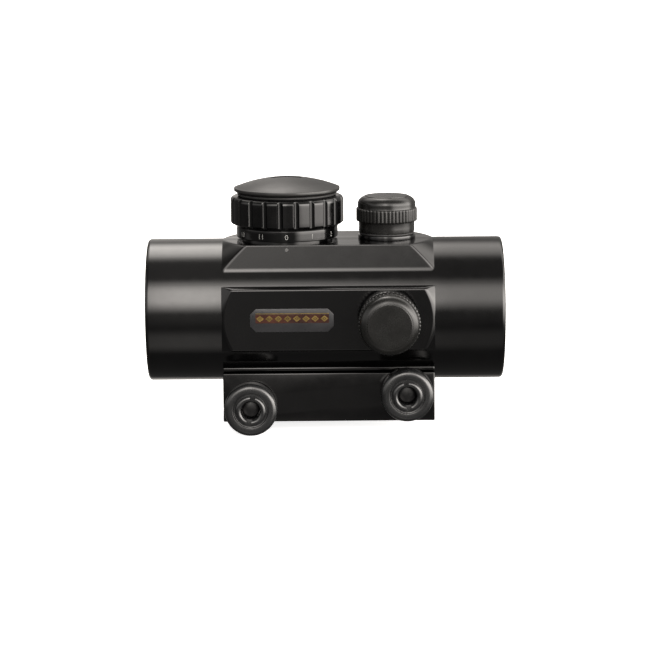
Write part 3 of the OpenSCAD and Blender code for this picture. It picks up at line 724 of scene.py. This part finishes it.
def make_battery_cap():
    """Domed cap with a coin slot; it screws into the grip."""
    skirt = [(0, 12.2), (10.35, 12.2), (10.35, 9.4), (11.92, 9.4), (11.92, 12.8)]
    edge = [(13.6, 12.8), (13.75, 12.84), (14.3, 13.26), (14.38, 13.36)]
    edge += [(CAP_R, 13.46), (CAP_R, 13.98), (14.35, 14.08)]
    dome = [p for p in crown_points(CAP_R, CAP_RIM_H, CAP_APEX_H, 24) if p[0] < CAP_R - 0.2]
    cap = turned("battery_cap_dome", skirt + edge + dome, 160, None, 30)
    half = COIN_SLOT_HALF_W
    slot = turned("cut", [(0, -half), (COIN_SLOT_R, -half), (COIN_SLOT_R, half), (0, half)], 160)
    place = Matrix.Translation((0, 0, (CAP_APEX_H + COIN_SLOT_LIFT) * MM))
    moved(slot, place @ Matrix.Rotation(math.radians(90), 4, "X"))
    carve(cap, [slot])
    round_edges(cap, 0.10, 2, 32)
    stand_on_deck(cap, KNOB_X)
    finish = turned_metal(
        "battery_cap_finish", (0.0115, 0.0115, 0.0110), (0.0165, 0.0165, 0.0158), 0.34, "Z", (KNOB_X, 0, 0),
        specular=0.40, depth=0.25,
    )
    return dress(cap, "satin_grey_black", "battery_lid", "battery_cap", material=finish)


# ---------------------------------------------------------------- turrets

RIDGES = 48
KNURL_R, KNURL_FOOT_R, KNURL_DEPTH = 8.3, 8.05, 0.20
CAP_WALL_R, CAP_SKIRT_R, CAP_FACE_R = 7.9, 7.6, 5.95
NECK_R = 6.6
TURRET_THREAD_PITCH = 0.8


def knurl_radius(angle, radius, height):
    """Radius of the cap where the straight knurl cuts into its band."""
    if radius < KNURL_FOOT_R:
        return radius
    turn = (angle + math.pi / RIDGES) % (TAU / RIDGES) - math.pi / RIDGES
    share = abs(turn) / (math.pi / RIDGES)
    return radius - KNURL_DEPTH * max(0.0, 1 - share / 0.62)


def make_turret_cap(name):
    """Knurled cap with a skirt, a curved shoulder and a flat face set off by a small step."""
    profile = [(0, 10.2), (5.9, 10.2), (6.0, 10.1), (6.0, 7.2), (6.68, 7.2), (6.68, 1.9), (6.8, 1.75)]
    profile += [(7.4, 1.75), (7.55, 1.82)] + [(CAP_SKIRT_R, height) for height in (1.95, 3.0, 4.35)]
    profile += [(7.65, 4.55), (8.0, 4.66), (8.2, 4.75), (8.29, 4.9)]
    profile += [(KNURL_R, height) for height in (5.1, 6.4, 7.8)]
    profile += [(8.29, 8.0), (8.2, 8.14), (KNURL_FOOT_R, 8.22), (7.95, 8.28), (7.91, 8.42)]
    profile += [(CAP_WALL_R, 9.1), (CAP_WALL_R, 9.55), (7.86, 9.75), (7.78, 9.95)]
    profile += arc(5.35, 8.82, 2.7, 26, 70, 10)[1:]
    profile += [(6.04, 11.38), (5.98, 11.40), (CAP_FACE_R, 11.52), (5.90, 11.56)]
    profile += crown_points(5.8, 11.57, 11.6, 6)
    return turned(name, profile, RIDGES * 14, knurl_radius, 34)


def thread_radius(pitch, depth, low, high, crest):
    """Shape of an outer thread of that pitch between two heights."""
    def shape(angle, radius, height):
        if radius < crest - 0.02 or not low <= height <= high:
            return radius
        phase = (height / pitch - angle / TAU) % 1.0
        fade = min(1.0, (height - low) / 0.4, (high - height) / 0.4)
        return radius - depth * fade * (1 - abs(2 * phase - 1))
    return shape


def make_turret_base(name):
    """Flange and threaded neck that the cap screws on."""
    profile = [(4.4, -1.6), (4.4, 0.0), (7.6, 0.0), (7.75, 0.05), (7.8, 0.2), (7.8, 0.85)]
    profile += [(7.74, 1.02), (7.6, 1.1), (6.75, 1.1), (NECK_R, 1.25)]
    profile += [(NECK_R, h) for h in np.arange(1.4, 5.45, 0.08)]
    profile += [(6.5, 5.55), (6.4, 5.6), (5.4, 5.6), (5.28, 5.5), (5.28, 3.0), (3.03, 3.0), (3.03, -1.6)]
    thread = thread_radius(TURRET_THREAD_PITCH, 0.42, 1.35, 5.45, NECK_R)
    return turned(name, profile, 128, thread, 38, hollow=True)


def make_adjuster(name):
    """Brass adjuster with a screwdriver slot and a ring of click marks."""
    def notches(angle, radius, height):
        if radius < 5.0 or height < 5.3:
            return radius
        turn = (angle + TAU / 120) % (TAU / 60) - TAU / 120
        return radius - 0.12 * max(0.0, 1 - abs(turn) / (TAU / 300))
    profile = [(0, 5.2), (1.58, 5.2), (1.58, -1.4), (2.95, -1.4), (2.95, 3.1), (5.1, 3.1), (5.2, 3.2)]
    profile += [(5.2, 5.3), (5.2, 6.1), (5.15, 6.25), (5.0, 6.35), (4.9, 6.4), (0, 6.4)]
    dial = turned(name, profile, 360, notches, 34)
    slot = prism("cut", [(-6, -0.6), (6, -0.6), (6, 0.6), (-6, 0.6)], 5.6, 8, "Z")
    carve(dial, [slot])
    return round_edges(dial, 0.06, 2, 40)


def make_turrets():
    """Cap, neck and adjuster of the elevation turret on the deck and the windage turret on the panel."""
    for side, place, axis, centre in (
        ("elevation", lambda o: stand_on_deck(o, TURRET_X), "Z", (TURRET_X, 0, 0)),
        ("windage", stand_on_panel, "Y", (TURRET_X, 0, AXIS_Z)),
    ):
        finish = turned_metal(
            f"{side}_cap_finish", (0.0050, 0.0050, 0.0046), (0.0076, 0.0075, 0.0070), 0.25, axis, centre,
            specular=0.44,
        )
        cap = place(make_turret_cap(f"{side}_cap_knurled"))
        dress(cap, "satin_grey_black", f"{side}_cover", f"{side}_cap", material=finish)
        base = place(make_turret_base(f"{side}_neck"))
        dress(base, "anodised_black", "housing", f"{side}_base")
        dial = place(make_adjuster(f"{side}_adjuster_dial"))
        dress(dial, "contact_brass", f"{side}_adjuster", f"{side}_dial")


# ---------------------------------------------------------------- clamp


NUT_R, NUT_SLOT_HALF_W = 7.1, 0.7
WASHER_T = 0.8
BOLT_R, BOLT_HEAD_R, BOLT_HEAD_T = 2.45, 4.0, 3.0
BOLT_THREAD_LENGTH, BOLT_THREAD_PITCH = 7.0, 0.8
HEX_FLATS, HEX_DEPTH = 3.0, 1.4


def make_clamp_plate():
    """Near-side jaw; its inner top corner is cut back to clear the tube."""
    top = AXIS_Z - PLATE_DROP
    inner = -11.5
    outline = [
        (-FOOT_Y, FOOT_LOW), (-HOOK_Y, FOOT_LOW), (-FLANK_Y, FLANK_Z), (inner, -2.0), (inner, top - 0.7),
        (-12.4, top), (-FOOT_Y, top),
    ]
    plate = round_edges(prism("clamp_plate_body", outline, -BLOCK_HALF, BLOCK_HALF), 0.3, 3, 30)
    for index in (0, 1):
        carve(plate, [lay_on_bolt(cutting_rod(BOLT_BORE_R, -30, 30), index, 0)])
    smooth(plate, 40)
    dress(plate, "anodised_black", "clamp", "clamp_plate")


def make_nut(name, slot_turn):
    """Round nut with a stepped face, a raised collar and a screwdriver slot."""
    profile = [(2.55, 0.1), (2.7, 0.0), (6.5, 0.0), (6.9, 0.1), (7.05, 0.3)]
    profile += [(NUT_R, 0.55), (NUT_R, 2.0), (NUT_R, 3.3)] + arc(NUT_R - 1.4, 3.4, 1.4, 0, 78, 8)
    profile += [(5.6, 4.8), (4.95, 4.8), (4.8, 4.76), (4.66, 4.58), (4.5, 4.5), (4.2, 4.5)]
    profile += arc(3.3, 4.9, 0.8, 0, 180, 16) + [(2.5, 4.4)]
    nut = turned(name, profile, 128, None, 34, hollow=True)
    half, reach = NUT_SLOT_HALF_W, 4.35
    slot = prism("cut", [(-half, -reach), (half, -reach), (half, reach), (-half, reach)], 4.5, 8, "Z")
    moved(slot, Matrix.Rotation(math.radians(slot_turn), 4, "Z"))
    carve(nut, [slot])
    return round_edges(nut, 0.12, 3, 36)


def make_washer(name):
    profile = [(2.6, 0.08), (2.7, 0.0), (5.05, 0.0), (5.2, 0.12)]
    profile += [(5.2, 0.66), (5.05, WASHER_T), (2.7, WASHER_T), (2.6, 0.72)]
    return turned(name, profile, 96, None, 30, hollow=True)


def make_bolt(index):
    """Cross bolt with a socket head, a threaded end and rounded edges; height 0 is the head's face."""
    low, high = extent("cross_bolts")
    length = high[1] - low[1]
    start = length - BOLT_THREAD_LENGTH
    profile = [(0, 0.0), (3.5, 0.0), (3.8, 0.08), (3.95, 0.25), (BOLT_HEAD_R, 0.5), (BOLT_HEAD_R, 2.85)]
    profile += [(3.9, 2.97), (3.75, BOLT_HEAD_T)]
    profile += [(BOLT_R, height) for height in (BOLT_HEAD_T, 3.2, start - 0.2)]
    profile += [(BOLT_R, h) for h in np.arange(start, length - 0.5, 0.09)]
    profile += [(2.35, length - 0.35), (2.1, length - 0.1), (1.9, length), (0, length)]
    thread = thread_radius(BOLT_THREAD_PITCH, 0.3, start, length - 0.45, BOLT_R)
    bolt = turned(f"cross_bolt_{index + 1}", profile, 96, thread, 36)
    corner_r = HEX_FLATS / math.sqrt(3)
    corners = [math.radians(60 * k) for k in range(6)]
    hexagon = [(corner_r * math.cos(angle), corner_r * math.sin(angle)) for angle in corners]
    carve(bolt, [prism("cut", hexagon, -1, HEX_DEPTH, "Z")])
    round_edges(bolt, 0.06, 2, 50)
    return lay_on_bolt(bolt, index, high[1])


def make_clamp():
    """Clamp plate, and on each bolt its washer and nut."""
    make_clamp_plate()
    for index, (body, node, turn) in enumerate((
        ("rear_nut", "rear_thumb_nut", -9), ("front_nut", "front_thumb_nut", 6),
    )):
        nut = lay_on_bolt(make_nut(f"{body}_turned", turn), index, PLATE_LOW[1] - WASHER_T)
        dress(nut, "dark_nut_metal", body, node)
        washer = lay_on_bolt(make_washer(f"washer_{index + 1}"), index, PLATE_LOW[1])
        dress(washer, "blackened_steel", "clamp", "clamp_washers")
        dress(make_bolt(index), "blackened_steel", "housing", "cross_bolts")


# ---------------------------------------------------------------- badge, rings and glass


def chamfered(w, h, cut):
    """Outline of a plate 2w by 2h with its corners cut off."""
    return [(-w, -h + cut), (-w + cut, -h), (w - cut, -h), (w, -h + cut),
            (w, h - cut), (w - cut, h), (-w + cut, h), (-w, h - cut)]


def make_badge():
    """Dark plate with a gilt line and a band of lozenges."""
    low, high = extent("badge_plate")
    cx, cz = (low[0] + high[0]) / 2, (low[2] + high[2]) / 2
    w, h = (high[0] - low[0]) / 2, (high[2] - low[2]) / 2
    front = low[1]
    plate = prism("badge_body", [(cx + x, cz + z) for x, z in chamfered(w, h, 1.6)], front, high[1], "Y")
    round_edges(plate, 0.12, 3, 30)
    dress(plate, "badge_metal", "housing", "badge_plate")
    top = cz + h
    left, right = cx - w + 1.5, cx + w - 1.3

    def strip(outline, lift):
        return prism("strip", outline, front - lift, front + 0.1, "Y")

    def block(x0, x1, z0, z1):
        return [(x0, z0), (x1, z0), (x1, z1), (x0, z1)]

    inlay = strip(block(left, right, top - 3.85, top - 1.5), 0.02)
    inlay.name = "badge_inlay"
    enamel = plastic("badge_enamel", (0.020, 0.006, 0.004), (0.045, 0.014, 0.008), 0.25, 0.3)
    dress(inlay, "badge_metal", "housing", material=enamel)
    pieces = [strip(block(left, right, top - 1.4, top - 1.2), 0.04)]
    count = 8
    pitch = (right - left) / count
    middle = top - 2.68
    for i in range(count):
        at = left + (i + 0.5) * pitch
        half, tall = 0.42 * pitch, 0.86
        ring = [(at - half, middle), (at, middle - tall), (at + half, middle), (at, middle + tall)]
        hole = [(at + (x - at) * 0.5, middle + (z - middle) * 0.5) for x, z in ring]
        for k in range(4):
            n = (k + 1) % 4
            pieces.append(strip([ring[k], ring[n], hole[n], hole[k]], 0.045))
        pieces.append(strip(block(at - 0.2, at + 0.2, middle - 0.2, middle + 0.2), 0.05))
    pattern = join(pieces, "badge_pattern")
    gilt = plain_metal("gilt", (0.34, 0.24, 0.08), 0.34)
    dress(pattern, "badge_metal", "housing", material=gilt)


def make_rings():
    """Threaded retaining rings with two spanner notches each."""
    for node in ("rear_retaining_ring", "front_retaining_ring"):
        low, high = extent(node)
        x0, x1 = low[0], high[0]
        outer_r = (high[1] - low[1]) / 2
        bevel = 0.2
        profile = [(15.3, x0 + bevel), (15.5, x0), (outer_r - bevel, x0), (outer_r, x0 + bevel)]
        profile += [(outer_r, x1 - bevel), (outer_r - bevel, x1), (15.5, x1), (15.3, x1 - bevel)]
        ring = turned(node + "_turned", profile, 160, None, 30, hollow=True)
        for side in (-1, 1):
            middle = side * (BORE_R - 1)
            box = [(middle - 0.6, -1.1), (middle + 0.6, -1.1), (middle + 0.6, 1.1), (middle - 0.6, 1.1)]
            carve(ring, [prism("cut", box, x0 - 1, x1 + 1, "Z")])
        round_edges(ring, 0.06, 2, 50)
        dress(along_tube(ring), "anodised_black", "housing", node)


def make_windows():
    """Flat panes at both ends, with a small bevel round the edge."""
    for node in ("rear_window", "front_window"):
        low, high = extent(node)
        r = (high[1] - low[1]) / 2
        x0, x1 = low[0], high[0]
        bevel = 0.2
        profile = [(0, x0), (r * 0.5, x0), (r - bevel, x0), (r, x0 + bevel)]
        profile += [(r, x1 - bevel), (r - bevel, x1), (r * 0.5, x1), (0, x1)]
        pane = turned(node + "_pane", profile, 128, None, 30)
        dress(along_tube(pane), "clear_glass", "housing", node)


def finish_cad_nodes():
    """CAD nodes that stay get a procedural material from their slot."""
    slots = {s["node"]: s["material_slot"] for s in frame["record"]["subparts"]}
    # The index dot's paint is given a dark grey, far darker than the white of the dial numbers.
    dark_dot_paint = plastic("dot_paint", (0.045, 0.045, 0.044), (0.065, 0.065, 0.064), 0.5, 0.3)
    for name, obj in NODES.items():
        if obj.hide_render:
            continue
        obj.data.materials.clear()
        obj.data.materials.append(dark_dot_paint if name == "index_dot" else MAT[slots[name]])
        smooth(obj, 30)


# ---------------------------------------------------------------- camera, floor and light


def make_camera():
    """Camera at the photograph's angle: square on to the near side, 9.6 degrees above it."""
    distance = 0.700
    elevation = math.radians(9.6)
    lens_roll = math.radians(-0.48)
    data = bpy.data.cameras.new("camera")
    data.sensor_width = 36
    data.lens = 141.5
    data.shift_x = -0.0005
    data.shift_y = -0.0263
    camera = bpy.data.objects.new("camera", data)
    middle = Vector(((REAR_X + FRONT_X) / 2, 0, AXIS_Z)) * MM
    back = Vector((0, -math.cos(elevation), math.sin(elevation)))
    camera.location = middle + back * distance
    turn = (-back).to_track_quat("-Z", "Y").to_matrix().to_4x4() @ Matrix.Rotation(lens_roll, 4, "Z")
    camera.matrix_world = Matrix.Translation(camera.location) @ turn
    bpy.context.scene.collection.objects.link(camera)
    bpy.context.scene.camera = camera


def make_floor():
    """Pale paper under the object; only the camera sees it, so it doesn't show in the black metal."""
    z = (pivot("rear_nut_turn")[2] - NUT_R - 0.05) * MM
    mesh = bpy.data.meshes.new("floor")
    size = 12.0
    corners = [(-size, -size, z), (size, -size, z), (size, size, z), (-size, size, z)]
    mesh.from_pydata(corners, [], [(0, 1, 2, 3)])
    floor = bpy.data.objects.new("floor", mesh)
    bpy.context.scene.collection.objects.link(floor)
    m = Nodes("floor_paper")
    m.link(m.ramp(m.noise(3, 2), [(0.3, 0.90), (0.7, 0.93)]), m.shader.inputs["Base Color"])
    m.set(Roughness=0.9, Emission_Strength=0.78)
    m.shader.inputs["Emission Color"].default_value = (1, 1, 1, 1)
    m.shader.inputs["Specular IOR Level"].default_value = 0.0
    mesh.materials.append(m.material)
    floor.visible_glossy = False
    floor.visible_diffuse = False
    floor.visible_transmission = False


# Studio lights, each a soft patch of the surroundings. A place is (middle, full, reach): the light has its
# whole strength up to "full" away from the middle, and has faded out at "reach".
# "turn" is in degrees round the X axis from the near horizon, 90 overhead; "behind" is turn without its sign;
# "azimuth" is in degrees from the near side towards +X; "along" and "height" are the direction's X and Z.
WARM, PALE = (1.0, 0.95, 0.9), (1.0, 0.97, 0.94)
LONG_LIGHTS = {
    "near soft box": (5.5, {"turn": (30, 5, 30)}),
    "far soft box": (4.0, {"turn": (120, 5, 30)}),
    "floor bounce": (0.4, {"turn": (-45, 5, 25)}),
    "far wall": (0.4, {"behind": (180, 30, 45)}),
    "fill": (0.2, {"turn": (60, 60, 90)}),
}
WHOLE_LENGTH = (0.6, {"along": (0.25, 0.6, 1.0)})
BRIGHT_MIDDLE = (1.0, {"along": (-0.1, 0.05, 0.15)})
LIGHTS = [
    (7.0, WARM, {"azimuth": (65, 30, 50), "height": (0.2, 0.1, 0.6)}),  # soft box beyond the front end
    (0.9, PALE, {"azimuth": (-65, 30, 50), "height": (0.3, 0.1, 0.4)}),  # dim room beyond the rear end
    (0.1, PALE, {"along": (0, 1, 2)}),  # dim room all round
]
for strength, place in LONG_LIGHTS.values():
    for share, stretch in (WHOLE_LENGTH, BRIGHT_MIDDLE):
        LIGHTS.append((share * strength, WARM, {**place, **stretch}))


def make_world():
    """Studio: long soft boxes overhead, one beyond the front end, and a dim room beyond the rear end."""
    world = bpy.data.worlds.new("studio")
    world.use_nodes = True
    tree = world.node_tree
    tree.nodes.clear()

    def new(kind, **settings):
        node = tree.nodes.new(kind)
        for key, value in settings.items():
            setattr(node, key, value)
        return node

    def combine(kind, operation, *sources):
        node = new(kind, operation=operation)
        for index, source in enumerate(sources):
            if isinstance(source, (int, float, tuple)):
                node.inputs[index].default_value = source
            else:
                tree.links.new(source, node.inputs[index])
        return node.outputs[0]

    def soft_light(strength, tint, spots):
        """Light of one studio lamp by direction, as a colour."""
        level = strength
        for name, (middle, full, reach) in spots.items():
            offset = combine("ShaderNodeMath", "SUBTRACT", places[name], middle)
            away = combine("ShaderNodeMath", "ABSOLUTE", offset)
            inside = combine("ShaderNodeMath", "SUBTRACT", reach, away)
            fade = new("ShaderNodeMapRange", interpolation_type="SMOOTHSTEP")
            fade.inputs["From Max"].default_value = reach - full
            tree.links.new(inside, fade.inputs["Value"])
            level = combine("ShaderNodeMath", "MULTIPLY", fade.outputs["Result"], level)
        colour = new("ShaderNodeVectorMath", operation="SCALE")
        colour.inputs[0].default_value = tint
        tree.links.new(level, colour.inputs["Scale"])
        return colour.outputs[0]

    split = new("ShaderNodeSeparateXYZ")
    tree.links.new(new("ShaderNodeTexCoord").outputs["Generated"], split.inputs[0])
    x, y, z = split.outputs
    near = combine("ShaderNodeMath", "MULTIPLY", y, -1.0)
    turn = combine("ShaderNodeMath", "DEGREES", combine("ShaderNodeMath", "ARCTAN2", z, near))
    azimuth = combine("ShaderNodeMath", "DEGREES", combine("ShaderNodeMath", "ARCTAN2", x, near))
    behind = combine("ShaderNodeMath", "ABSOLUTE", turn)
    places = {"along": x, "height": z, "turn": turn, "azimuth": azimuth, "behind": behind}
    total = (0.0, 0.0, 0.0)
    for strength, tint, spots in LIGHTS:
        total = combine("ShaderNodeVectorMath", "ADD", soft_light(strength, tint, spots), total)
    lit = new("ShaderNodeBackground")
    tree.links.new(total, lit.inputs["Color"])
    plain = new("ShaderNodeBackground")
    plain.inputs["Color"].default_value = (1, 1, 1, 1)
    choose = new("ShaderNodeMixShader")
    tree.links.new(new("ShaderNodeLightPath").outputs["Is Camera Ray"], choose.inputs["Fac"])
    tree.links.new(lit.outputs[0], choose.inputs[1])
    tree.links.new(plain.outputs[0], choose.inputs[2])
    tree.links.new(choose.outputs[0], new("ShaderNodeOutputWorld").inputs["Surface"])
    bpy.context.scene.world = world


# ---------------------------------------------------------------- put together

make_camera()
make_housing()
make_grip()
make_dial()
make_numbers()
make_battery_cap()
make_turrets()
make_clamp()
make_badge()
make_rings()
make_windows()
finish_cad_nodes()
make_floor()
make_world()
bpy.context.scene.view_settings.view_transform = "Standard"
